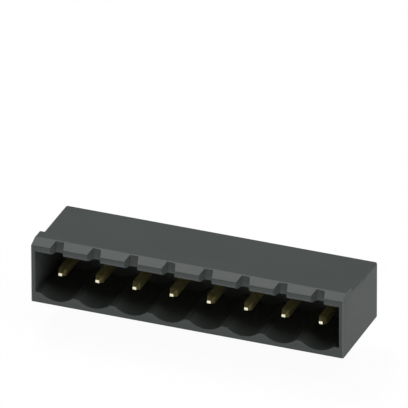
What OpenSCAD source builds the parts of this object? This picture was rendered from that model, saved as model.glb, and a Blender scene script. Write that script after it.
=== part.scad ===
// Right-angle pin header with a shrouded socket, for soldering to a circuit board
// X runs along the row of contacts, the socket opens towards -Y, and Z points away from the board.
// The origin is the middle of the row of solder legs, on the face that rests on the board.

/* [Row of contacts] */
// Number of contacts in the row
positions = 8; // [2:1:24]
// Distance from one contact to the next
pitch = 5; // [4.4:0.01:7.62]
// Distance from an end contact to the outside of the housing
end_margin = 3.5; // [2.9:0.05:6]

/* [Housing] */
// Distance from the mating face to the back
body_depth = 12; // [10:0.1:18]
// Height of the roof above the board
roof_height = 7.65; // [7.2:0.05:10]
// Thickness of the roof over the socket
roof_wall = 0.7; // [0.5:0.05:1.5]
// Thickness of the side walls of the socket
side_wall = 0.6; // [0.4:0.05:0.75]
// Thickness of the floor between the scallops
floor_wall = 1.45; // [0.9:0.05:2.2]
// Thickness of the floor at the lowest line of a scallop
scallop_floor = 0.64; // [0.4:0.02:0.8]
// Radius of the rounded edge under the lip, where the plug is led in
lead_in_radius = 0.6; // [0.2:0.05:0.9]
// Radius of the outer edges around the two ends
end_radius = 0.25; // [0.05:0.05:0.3]

/* [Latching ledge] */
// Height of the ledge above the roof
ledge_rise = 0.9; // [0.6:0.05:1.5]
// Distance from the mating face to the latching step
ledge_depth = 3; // [2:0.1:5]
// Length of the bevel, measured back from the mating face
bevel_run = 1.4; // [0.4:0.05:1.9]
// Height that the bevel loses towards the mating face
bevel_drop = 0.55; // [0.2:0.05:0.85]
// Width of a notch at the mating face
notch_mouth = 1.72; // [1.2:0.02:2.6]
// Width of a notch at its back
notch_throat = 1.06; // [0.6:0.02:1.1]
// Depth of a notch, measured back from the mating face
notch_depth = 1.2; // [0.6:0.05:2.5]

/* [Rear wall and pockets] */
// Thickness of the wall that holds the contacts
rear_wall = 0.5; // [0.4:0.05:2]
// Width of the pocket behind each contact
pocket_width = 3.4; // [1.6:0.05:4]
// Thickness of the roof over the pockets
pocket_roof = 1.8; // [1:0.05:2.5]

/* [Contacts] */
// Width of the square wire
pin_width = 1; // [0.8:0.05:1.2]
// Height of the contact axis above the board
pin_height = 3.84; // [3.6:0.02:4.4]
// Distance from the mating face to the tip of a contact
tip_recess = 1.23; // [0.4:0.01:3]
// Width of the flat end of a contact
tip_width = 0.48; // [0.3:0.02:0.7]
// Height of the flat end of a contact
tip_height = 0.4; // [0.3:0.02:0.7]
// Length of the taper at the end of a contact
tip_taper = 0.8; // [0.3:0.05:1.5]
// Inside radius of the bend
bend_inner_radius = 0.15; // [0.1:0.05:0.6]
// Distance from the back of the housing to the axis of the legs
leg_setback = 2; // [1.6:0.05:3]
// Length of a solder leg below the board face
leg_length = 3.9; // [2.5:0.1:6]
// Width of the flat end of a leg
leg_tip_width = 0.5; // [0.3:0.02:0.7]
// Length of the taper at the end of a leg
leg_taper = 0.8; // [0.3:0.05:1.5]
// Room left on each side of a contact in its hole
hole_clearance = 0.01; // [0:0.01:0.1]

/* [Hidden] */
// Length of a cut beyond the face that it opens
overcut = 1;
// Smoothness of round edges
$fn = 64;

// Housing
half_length = (positions - 1) * pitch / 2 + end_margin;
back_y = leg_setback;
face_y = back_y - body_depth;
ceiling_z = roof_height - roof_wall;
ledge_top = roof_height + ledge_rise;
scallop_radius = pin_height - scallop_floor;
bevel_angle = atan2(bevel_drop, bevel_run);
bevel_length = norm([bevel_run, bevel_drop]);

// Contacts, whose bend starts where the rear wall ends
bend_radius = bend_inner_radius + pin_width / 2;
tip_y = face_y + tip_recess;
wall_back_y = -bend_radius;
socket_back_y = wall_back_y - rear_wall;
bend_centre_z = pin_height - bend_radius;
hole_width = pin_width + 2 * hole_clearance;

CONTACTS = [for (i = [1:positions]) str("contact_pin_", i)];

// Place of contact i along the row
function contact_x(i) = (i - (positions + 1) / 2) * pitch;

// Repeats its children at every contact of the row
module at_contacts() {
    for (i = [1:positions])
        translate([contact_x(i), 0, 0]) children();
}

// Extrudes a side view, drawn as (y, z), to both sides of the plane x = 0
module side_view(width) {
    rotate([90, 0, 90]) linear_extrude(width, center = true) children();
}

// Extrudes a front view, drawn as (x, z), from y0 to y1
module front_view(y0, y1) {
    translate([0, y1, 0]) rotate([90, 0, 0]) linear_extrude(y1 - y0) children();
}

// Section of the closed body, with the bevelled ledge along its front
module body_section() {
    polygon([
        [face_y, 0],
        [back_y, 0],
        [back_y, roof_height],
        [face_y + ledge_depth, roof_height],
        [face_y + ledge_depth, ledge_top],
        [face_y + bevel_run, ledge_top],
        [face_y, ledge_top - bevel_drop]
    ]);
}

// Section of the socket, with its ceiling rounded towards the mating face
module socket_section() {
    translate([face_y - overcut, floor_wall])
        square([socket_back_y - face_y + overcut, ceiling_z - floor_wall]);
    translate([face_y, ceiling_z]) difference() {
        translate([-overcut, -overcut]) square([lead_in_radius + overcut, lead_in_radius + overcut]);
        translate([lead_in_radius, lead_in_radius]) circle(lead_in_radius);
    }
}

// What rounding takes off a square edge that lies along the Y axis, from y0 to y1
module edge_round(y0, y1) {
    front_view(y0, y1) translate([-end_radius, -end_radius]) difference() {
        square(end_radius + overcut);
        circle(end_radius);
    }
}

// What rounding takes off the outer edges of the end at the right
module end_rounding() {
    translate([half_length, 0, roof_height])
        edge_round(face_y + ledge_depth, back_y + overcut);
    translate([half_length, face_y + bevel_run, ledge_top])
        edge_round(0, ledge_depth - bevel_run + overcut);
    translate([half_length, face_y + bevel_run, ledge_top])
        rotate([bevel_angle, 0, 0]) edge_round(-bevel_length - overcut, 0);
    translate([half_length, face_y, 0])
        rotate([90, 0, 0]) edge_round(-overcut, ledge_top + overcut);
    translate([half_length, back_y, 0])
        rotate([-90, 0, 0]) edge_round(-roof_height - overcut, overcut);
}

// Everything that the plug fills, with a scallop around each contact sunk into the floor
module socket() {
    width = 2 * (half_length - side_wall);
    side_view(width) socket_section();
    intersection() {
        at_contacts() front_view(face_y - overcut, socket_back_y)
            translate([0, pin_height]) circle(scallop_radius);
        translate([-width / 2, face_y - overcut, 0])
            cube([width, body_depth, floor_wall + overcut]);
    }
}

// Tapered opening through the lip above a contact
module notch() {
    translate([0, 0, pin_height]) linear_extrude(ledge_top - pin_height + overcut) polygon([
        [-notch_mouth / 2, face_y],
        [-notch_mouth / 2, face_y - overcut],
        [notch_mouth / 2, face_y - overcut],
        [notch_mouth / 2, face_y],
        [notch_throat / 2, face_y + notch_depth],
        [-notch_throat / 2, face_y + notch_depth]
    ]);
}

// Square hole that holds a contact in the rear wall
module contact_hole() {
    front_view(socket_back_y - overcut, wall_back_y + overcut)
        translate([0, pin_height]) square(hole_width, center = true);
}

// Room behind the rear wall for the bend and the leg, open to the back and the board
module rear_pocket() {
    translate([-pocket_width / 2, wall_back_y, -overcut])
        cube([pocket_width, back_y - wall_back_y + overcut, roof_height - pocket_roof + overcut]);
}

// Moulded insulating body
module housing() {
    color("#4a4f4e") difference() {
        side_view(2 * half_length) body_section();
        end_rounding();
        mirror([1, 0, 0]) end_rounding();
        socket();
        at_contacts() {
            notch();
            contact_hole();
            rear_pocket();
        }
    }
}

// Side view of the wire with a sharp corner, tapered at its tip and at the end of its leg
module wire_side() {
    half = pin_width / 2;
    polygon([
        [tip_y, pin_height + tip_height / 2],
        [tip_y, pin_height - tip_height / 2],
        [tip_y + tip_taper, pin_height - half],
        [-half, pin_height - half],
        [-half, leg_taper - leg_length],
        [-leg_tip_width / 2, -leg_length],
        [leg_tip_width / 2, -leg_length],
        [half, leg_taper - leg_length],
        [half, pin_height + half],
        [tip_y + tip_taper, pin_height + half]
    ]);
}

// Fills the corner of the wire up to the inside of its bend
module bend_inside() {
    translate([wall_back_y, bend_centre_z]) difference() {
        square(bend_radius);
        circle(bend_inner_radius);
    }
}

// Takes off the corner of the wire beyond the outside of its bend
module bend_outside() {
    translate([wall_back_y, bend_centre_z]) difference() {
        square(bend_radius + pin_width);
        circle(bend_radius + pin_width / 2);
    }
}

// Outline of the wire seen from above, narrowed at the tip
module wire_plan() {
    polygon([
        [-tip_width / 2, tip_y],
        [tip_width / 2, tip_y],
        [pin_width / 2, tip_y + tip_taper],
        [pin_width / 2, back_y],
        [-pin_width / 2, back_y],
        [-pin_width / 2, tip_y + tip_taper]
    ]);
}

// Outline of the wire seen from the front, narrowed at the end of the leg
module wire_front() {
    polygon([
        [-leg_tip_width / 2, -leg_length],
        [leg_tip_width / 2, -leg_length],
        [pin_width / 2, leg_taper - leg_length],
        [pin_width / 2, roof_height],
        [-pin_width / 2, roof_height],
        [-pin_width / 2, leg_taper - leg_length]
    ]);
}

// Square wire with a right-angle bend
module bent_wire() {
    difference() {
        union() {
            side_view(pin_width) wire_side();
            side_view(pin_width) bend_inside();
        }
        side_view(pin_width + overcut) bend_outside();
    }
}

// Contact i: bent wire, tapered across its width too
module contact_pin(i) {
    color("#d8c58a") translate([contact_x(i), 0, 0]) intersection() {
        bent_wire();
        translate([0, 0, -leg_length]) linear_extrude(leg_length + roof_height) wire_plan();
        front_view(face_y, back_y) wire_front();
    }
}

housing();
for (i = [1:positions])
    contact_pin(i);
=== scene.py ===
"""Looks of a right-angle pin header: a dark grey moulding with plated square contacts, on a white floor."""

import math

import bpy
from mathutils import Matrix, Vector


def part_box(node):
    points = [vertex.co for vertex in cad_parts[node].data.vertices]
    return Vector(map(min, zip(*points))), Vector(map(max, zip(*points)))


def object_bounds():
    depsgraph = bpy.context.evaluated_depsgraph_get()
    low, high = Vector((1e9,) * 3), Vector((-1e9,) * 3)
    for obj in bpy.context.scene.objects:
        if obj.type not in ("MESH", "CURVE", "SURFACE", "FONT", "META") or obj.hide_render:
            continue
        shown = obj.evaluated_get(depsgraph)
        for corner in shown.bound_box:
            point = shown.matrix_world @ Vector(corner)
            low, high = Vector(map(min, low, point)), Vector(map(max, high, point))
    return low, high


MM = 0.001
UPWARDS = Vector((0, 0, 1))
# Sine of the angle to the vertical below which a direction counts as vertical
VERTICAL_LIMIT = 1e-6

# Camera: turned and raised from the straight front view, with a very long lens, given in millimetres
VIEW_AZIMUTH = math.radians(21.362)
VIEW_ELEVATION = math.radians(28.540)
VIEW_ROLL = math.radians(-0.16)
VIEW_DISTANCE = 1889 * MM
SENSOR_WIDTH = 36.0
LENS = 1326.0
# Point that the camera looks at, measured from the origin to the right and upwards in the picture
AIM_RIGHT = -1.433 * MM
AIM_UP = 11.353 * MM

# Rounding of the edges of the moulding and of the wire
HOUSING_EDGE = 0.07 * MM
CONTACT_EDGE = 0.03 * MM
EDGE_SEGMENTS = 3
# Angles above which a crease is shaded sharp and an outward edge is rounded
SHARP_ANGLE = math.radians(12)
ROUND_ANGLE = math.radians(25)
# Limits below which neighbouring facets count as one flat face, and neighbouring points as one point
FLAT_ANGLE = math.radians(1)
WELD_DISTANCE = 0.001 * MM

# Noises of the finishes: features per metre, levels of detail, and shares of that scale along X, Y and Z
FLOW = (160, 3, (0.5, 1, 1))
GRAIN = (7000, 2, (1, 1, 1))
CLOUDS = (900, 3, (1, 1, 1))
DRAWING_LINES = (12000, 2, (1, 0.05, 0.05))
RELIEF_STRENGTH = 0.9

# Plastic: the flow varies its colour and its roughness, and the grain is its relief
PLASTIC_COLOUR = (0.0705, 0.0793, 0.0768)
PLASTIC_COLOUR_SPREAD = 0.05
PLASTIC_ROUGHNESS = 0.4
PLASTIC_ROUGHNESS_SPREAD = 0.04
PLASTIC_SPECULAR = 0.09
GRAIN_DEPTH = 0.012 * MM
# Painted highlight that lightens the rounded edges of the two ends, and the slants at which it starts and
# is full
PAINTED_HIGHLIGHT_WIDTH = 0.26 * MM
PAINTED_HIGHLIGHT_GAIN = 0.8
PAINTED_HIGHLIGHT_SPREAD = 0.2
PAINTED_HIGHLIGHT_SLANT = (0.01, 0.12)

# Metal: clouds vary its colour and its roughness, and the drawing lines are its relief
METAL_COLOUR = (0.86, 0.72, 0.31)
METAL_COLOUR_SPREAD = 0.05
METAL_ROUGHNESS = 0.48
METAL_ROUGHNESS_SPREAD = 0.05
METAL_END_COLOUR = (0.69, 0.67, 0.51)
METAL_END_COLOUR_SPREAD = 0.03
METAL_END_DEPTH = 0.04 * MM
LINE_DEPTH = 0.008 * MM

# Stage: the floor looks white, with a share of its own shading so that it keeps the shadow
FLOOR_SIZE = 6.0
FLOOR_COLOUR = (0.9, 0.9, 0.9, 1)
FLOOR_WHITE_SHARE = 0.96
WORLD_COLOUR = (1, 1, 1, 1)

# Softboxes that face the origin: azimuth and elevation in degrees, distance, width, height and power
SOFTBOXES = {
    "top_softbox": (0, 90, 0.5, 0.36, 0.36, 0.08),
    "overhead_softbox": (-131, 65, 0.5, 0.18, 0.18, 1.8),
    "left_softbox": (-85, 45, 0.5, 0.36, 0.36, 0.08),
    "right_softbox": (78, 60, 0.5, 0.36, 0.36, 1.08),
    "front_softbox": (0, 20, 0.5, 0.36, 0.25, 0.085),
}
# Panel just above the floor in front of the part, facing upwards
PANEL_Y = -40 * MM
PANEL_LIFT = 0.5 * MM
PANEL_WIDTH = 90 * MM
PANEL_DEPTH = 56 * MM
PANEL_POWER = 0.0104


def direction(azimuth, elevation):
    """Unit vector towards a point of the sky. Azimuth 0 is in front of the part, positive to its right."""
    flat = math.cos(elevation)
    return Vector((math.sin(azimuth) * flat, -math.cos(azimuth) * flat, math.sin(elevation)))


def across(back):
    """Unit vectors to the right and upwards in a view that looks against back."""
    right = UPWARDS.cross(back)
    if right.length < VERTICAL_LIMIT:
        right = Vector((1, 0, 0))
    right.normalize()
    return right, back.cross(right)


def look_along(obj, back, roll=0.0):
    """Turns a camera or light so that it looks against back, with its own up side upwards."""
    right, up = across(back)
    turned_right = right * math.cos(roll) + up * math.sin(roll)
    turned_up = up * math.cos(roll) - right * math.sin(roll)
    turn = Matrix((turned_right, turned_up, back)).transposed().to_4x4()
    obj.matrix_world = Matrix.Translation(obj.location) @ turn


def new_material(name):
    """New material, with its tree, its Principled shader and the object's own coordinates."""
    material = bpy.data.materials.new(name)
    material.use_nodes = True
    tree = material.node_tree
    shader = tree.nodes["Principled BSDF"]
    place = tree.nodes.new("ShaderNodeTexCoord").outputs["Object"]
    return material, tree, shader, place


def feed(tree, socket, value):
    """Sets an input to a number or a colour, or links it to an output."""
    if isinstance(value, bpy.types.NodeSocket):
        tree.links.new(value, socket)
    else:
        socket.default_value = value


def calculate(tree, operation, *values):
    """Result of one step of arithmetic on outputs and numbers."""
    made = tree.nodes.new("ShaderNodeMath")
    made.operation = operation
    for socket, value in zip(made.inputs, values):
        feed(tree, socket, value)
    return made.outputs["Value"]


def axes_of(tree, vector):
    """Outputs for the X, Y and Z of a vector."""
    made = tree.nodes.new("ShaderNodeSeparateXYZ")
    tree.links.new(vector, made.inputs["Vector"])
    return made.outputs


def noise(tree, place, scale, detail, axis_shares):
    """Noise with features of about 1 / scale metres, longer along an axis with a share below 1."""
    mapping = tree.nodes.new("ShaderNodeMapping")
    mapping.inputs["Scale"].default_value = axis_shares
    tree.links.new(place, mapping.inputs["Vector"])
    made = tree.nodes.new("ShaderNodeTexNoise")
    made.inputs["Scale"].default_value = scale
    made.inputs["Detail"].default_value = detail
    tree.links.new(mapping.outputs["Vector"], made.inputs["Vector"])
    return made.outputs["Fac"]


def remap(tree, value, start, end, low, high):
    """Value from start to end spread over low to high, and held there beyond."""
    made = tree.nodes.new("ShaderNodeMapRange")
    made.inputs["From Min"].default_value = start
    made.inputs["From Max"].default_value = end
    made.inputs["To Min"].default_value = low
    made.inputs["To Max"].default_value = high
    tree.links.new(value, made.inputs["Value"])
    return made.outputs["Result"]


def varied(tree, value, middle, spread):
    """Number that varies with a noise by spread to both sides of the middle."""
    return remap(tree, value, 0, 1, middle - spread, middle + spread)


def scaled(colour, gain):
    """Opaque colour with every channel multiplied by the gain."""
    return (*[channel * gain for channel in colour], 1)


def mix_colours(tree, share, first, second):
    """Mix of two colours, with the given share of the second."""
    made = tree.nodes.new("ShaderNodeMix")
    made.data_type = "RGBA"
    feed(tree, made.inputs["Factor"], share)
    feed(tree, made.inputs["A"], first)
    feed(tree, made.inputs["B"], second)
    return made.outputs["Result"]


def tint(tree, value, colour, spread):
    """Colour that varies with a noise by a share of spread to both sides of itself."""
    return mix_colours(tree, value, scaled(colour, 1 - spread), scaled(colour, 1 + spread))


def relief(tree, shader, height, depth):
    """Gives a shader relief of the given depth."""
    made = tree.nodes.new("ShaderNodeBump")
    made.inputs["Distance"].default_value = depth
    made.inputs["Strength"].default_value = RELIEF_STRENGTH
    tree.links.new(height, made.inputs["Height"])
    tree.links.new(made.outputs["Normal"], shader.inputs["Normal"])


def painted_end_highlight(tree, place, half_length):
    """Mask of the painted highlight: 1 along the middle of the rounded edges of the ends, fading to 0 where
    they meet the flat faces.
    """
    normal = tree.nodes.new("ShaderNodeNewGeometry").outputs["Normal"]
    facing = axes_of(tree, normal)["X"]
    outward = calculate(tree, "MULTIPLY", facing, facing)
    # The slant is 0 on faces along the row and across it, and highest halfway between
    slant = calculate(tree, "MULTIPLY", outward, calculate(tree, "SUBTRACT", 1, outward))
    distance = calculate(tree, "ABSOLUTE", axes_of(tree, place)["X"])
    at_end = calculate(tree, "GREATER_THAN", distance, half_length - PAINTED_HIGHLIGHT_WIDTH)
    return calculate(tree, "MULTIPLY", at_end, remap(tree, slant, *PAINTED_HIGHLIGHT_SLANT, 0, 1))


def moulded_plastic(half_length):
    """Dark grey moulding compound with a spark-eroded grain, faint flow in its gloss, and a painted
    highlight that lightens the rounded edges of its ends.
    """
    material, tree, shader, place = new_material("moulded_plastic")
    flow = noise(tree, place, *FLOW)
    grain = noise(tree, place, *GRAIN)
    highlight_mask = painted_end_highlight(tree, place, half_length)
    # Painted highlight: the rounded edges of the ends get a lighter colour, varied by the grain
    highlight_share = calculate(tree, "MULTIPLY", highlight_mask, varied(tree, grain, 1, PAINTED_HIGHLIGHT_SPREAD))
    base = tint(tree, flow, PLASTIC_COLOUR, PLASTIC_COLOUR_SPREAD)
    colour = mix_colours(tree, highlight_share, base, scaled(PLASTIC_COLOUR, 1 + PAINTED_HIGHLIGHT_GAIN))
    tree.links.new(colour, shader.inputs["Base Color"])
    roughness = varied(tree, flow, PLASTIC_ROUGHNESS, PLASTIC_ROUGHNESS_SPREAD)
    tree.links.new(roughness, shader.inputs["Roughness"])
    shader.inputs["Specular IOR Level"].default_value = PLASTIC_SPECULAR
    relief(tree, shader, grain, GRAIN_DEPTH)
    return material


def cropped_ends(tree, place, tip_y, leg_z):
    """1 on the flat ends of a contact, where the wire was cropped, and 0 elsewhere."""
    axes = axes_of(tree, place)
    at_tip = calculate(tree, "LESS_THAN", axes["Y"], tip_y + METAL_END_DEPTH)
    at_leg = calculate(tree, "LESS_THAN", axes["Z"], leg_z + METAL_END_DEPTH)
    return calculate(tree, "MAXIMUM", at_tip, at_leg)


def plated_metal(tip_y, leg_z):
    """Pale gold plating with drawing lines along the wire, and barer metal on its cropped ends."""
    material, tree, shader, place = new_material("plated_metal")
    clouds = noise(tree, place, *CLOUDS)
    lines = noise(tree, place, *DRAWING_LINES)
    ends = cropped_ends(tree, place, tip_y, leg_z)
    plating = tint(tree, clouds, METAL_COLOUR, METAL_COLOUR_SPREAD)
    bare = tint(tree, clouds, METAL_END_COLOUR, METAL_END_COLOUR_SPREAD)
    tree.links.new(mix_colours(tree, ends, plating, bare), shader.inputs["Base Color"])
    roughness = varied(tree, clouds, METAL_ROUGHNESS, METAL_ROUGHNESS_SPREAD)
    tree.links.new(roughness, shader.inputs["Roughness"])
    shader.inputs["Metallic"].default_value = 1.0
    relief(tree, shader, lines, LINE_DEPTH)
    return material


def edge_marks():
    """Node group that marks the steep outward edges for rounding and shades sharp across every crease."""
    group = bpy.data.node_groups.new("edge_marks", "GeometryNodeTree")
    for side in ("INPUT", "OUTPUT"):
        group.interface.new_socket("Geometry", in_out=side, socket_type="NodeSocketGeometry")
    start = group.nodes.new("NodeGroupInput")
    end = group.nodes.new("NodeGroupOutput")
    angle = group.nodes.new("GeometryNodeInputMeshEdgeAngle")
    steep = {}
    for kind, limit in (("Unsigned Angle", SHARP_ANGLE), ("Signed Angle", ROUND_ANGLE)):
        compare = group.nodes.new("FunctionNodeCompare")
        compare.operation = "GREATER_THAN"
        compare.inputs["B"].default_value = limit
        group.links.new(angle.outputs[kind], compare.inputs["A"])
        steep[kind] = compare.outputs["Result"]
    shade = group.nodes.new("GeometryNodeSetMeshNormal")
    shade.mode = "SHARPNESS"
    shade.inputs["Remove Custom"].default_value = True
    shade.inputs["Face Sharpness"].default_value = False
    group.links.new(steep["Unsigned Angle"], shade.inputs["Edge Sharpness"])
    weight = group.nodes.new("GeometryNodeStoreNamedAttribute")
    weight.data_type = "FLOAT"
    weight.domain = "EDGE"
    weight.inputs["Name"].default_value = "bevel_weight_edge"
    group.links.new(steep["Signed Angle"], weight.inputs["Value"])
    group.links.new(start.outputs["Geometry"], shade.inputs["Mesh"])
    group.links.new(shade.outputs["Mesh"], weight.inputs["Geometry"])
    group.links.new(weight.outputs["Geometry"], end.inputs["Geometry"])
    return group


def soften_edges(piece, width, marks):
    """Rounds the outward edges of a CAD node with modifiers, leaving its mesh as it is."""
    joined = piece.modifiers.new("joined_faces", "WELD")
    joined.merge_threshold = WELD_DISTANCE
    flats = piece.modifiers.new("whole_flats", "DECIMATE")
    flats.decimate_type = "DISSOLVE"
    flats.angle_limit = FLAT_ANGLE
    marked = piece.modifiers.new("edge_marks", "NODES")
    marked.node_group = marks
    rounding = piece.modifiers.new("soft_edges", "BEVEL")
    rounding.width = width
    rounding.segments = EDGE_SEGMENTS
    rounding.limit_method = "WEIGHT"
    rounding.use_clamp_overlap = False
    rounding.harden_normals = True
    corners = piece.modifiers.new("joined_corners", "WELD")
    corners.merge_threshold = WELD_DISTANCE


def paint(piece, material):
    """Gives every face of a piece one material."""
    piece.data.materials.clear()
    piece.data.materials.append(material)


def mix_shaders(tree, share, first, second):
    """Mix of two shaders, with the given share of the second."""
    made = tree.nodes.new("ShaderNodeMixShader")
    tree.links.new(share, made.inputs["Fac"])
    tree.links.new(first.outputs[0], made.inputs[1])
    tree.links.new(second.outputs[0], made.inputs[2])
    return made


def seen_rays(tree):
    """1 for rays from the camera, from reflections and through glass, 0 for rays that light a surface."""
    path = tree.nodes.new("ShaderNodeLightPath")
    mirrored = calculate(tree, "MAXIMUM", path.outputs["Is Camera Ray"], path.outputs["Is Glossy Ray"])
    return calculate(tree, "MAXIMUM", mirrored, path.outputs["Is Transmission Ray"])


def make_floor(height):
    """Pale floor that looks white, keeps the part's shadow and is seen through from below."""
    bpy.ops.mesh.primitive_plane_add(size=FLOOR_SIZE, location=(0, 0, height))
    floor = bpy.context.object
    floor.name = "floor"
    material = bpy.data.materials.new("floor")
    material.use_nodes = True
    tree = material.node_tree
    tree.nodes.remove(tree.nodes["Principled BSDF"])
    shaded = tree.nodes.new("ShaderNodeBsdfDiffuse")
    shaded.inputs["Color"].default_value = FLOOR_COLOUR
    white = tree.nodes.new("ShaderNodeEmission")
    share = calculate(tree, "MULTIPLY", seen_rays(tree), FLOOR_WHITE_SHARE)
    top = mix_shaders(tree, share, shaded, white)
    underside = tree.nodes.new("ShaderNodeNewGeometry").outputs["Backfacing"]
    both = mix_shaders(tree, underside, top, tree.nodes.new("ShaderNodeBsdfTransparent"))
    tree.links.new(both.outputs[0], tree.nodes["Material Output"].inputs["Surface"])
    paint(floor, material)


def make_world():
    """Surroundings that give no light, and look white where the camera sees them from under the floor."""
    world = bpy.data.worlds.new("studio")
    world.use_nodes = True
    bpy.context.scene.world = world
    tree = world.node_tree
    background = tree.nodes["Background"]
    background.inputs["Color"].default_value = WORLD_COLOUR
    seen = tree.nodes.new("ShaderNodeLightPath").outputs["Is Camera Ray"]
    tree.links.new(seen, background.inputs["Strength"])


def make_light(name, place, back, width, height, power):
    """Soft rectangular light that shines against back and is not seen itself."""
    data = bpy.data.lights.new(name, "AREA")
    data.shape = "RECTANGLE"
    data.size = width
    data.size_y = height
    data.energy = power
    light = bpy.data.objects.new(name, data)
    bpy.context.scene.collection.objects.link(light)
    light.location = place
    look_along(light, back)
    light.visible_camera = False


def make_camera():
    """Camera at the photograph's viewing angle."""
    data = bpy.data.cameras.new("camera")
    data.sensor_width = SENSOR_WIDTH
    data.lens = LENS
    data.clip_end = FLOOR_SIZE
    camera = bpy.data.objects.new("camera", data)
    bpy.context.scene.collection.objects.link(camera)
    outward = direction(VIEW_AZIMUTH, VIEW_ELEVATION)
    right, up = across(outward)
    camera.location = outward * VIEW_DISTANCE
    aim = right * AIM_RIGHT + up * AIM_UP
    look_along(camera, (camera.location - aim).normalized(), VIEW_ROLL)
    bpy.context.scene.camera = camera


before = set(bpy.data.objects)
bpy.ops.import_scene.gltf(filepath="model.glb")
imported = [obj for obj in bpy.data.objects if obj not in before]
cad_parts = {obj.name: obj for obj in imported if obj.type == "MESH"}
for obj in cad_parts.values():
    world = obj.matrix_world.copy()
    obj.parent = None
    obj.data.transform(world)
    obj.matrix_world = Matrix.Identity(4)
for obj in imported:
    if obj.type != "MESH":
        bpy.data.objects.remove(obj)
cad_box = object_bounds()

marks = edge_marks()
plastic = moulded_plastic(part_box("housing")[1].x)
wire_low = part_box("contact_pin_1")[0]
metal = plated_metal(wire_low.y, wire_low.z)
for name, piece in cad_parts.items():
    is_contact = name.startswith("contact_pin")
    paint(piece, metal if is_contact else plastic)
    soften_edges(piece, CONTACT_EDGE if is_contact else HOUSING_EDGE, marks)

floor_z = cad_box[0].z
make_floor(floor_z)
make_world()
for name, (azimuth, elevation, distance, *shape) in SOFTBOXES.items():
    towards = direction(math.radians(azimuth), math.radians(elevation))
    make_light(name, towards * distance, towards, *shape)
panel_place = Vector((0, PANEL_Y, floor_z + PANEL_LIFT))
make_light("front_panel", panel_place, -UPWARDS, PANEL_WIDTH, PANEL_DEPTH, PANEL_POWER)
make_camera()
bpy.context.scene.view_settings.view_transform = "Standard"
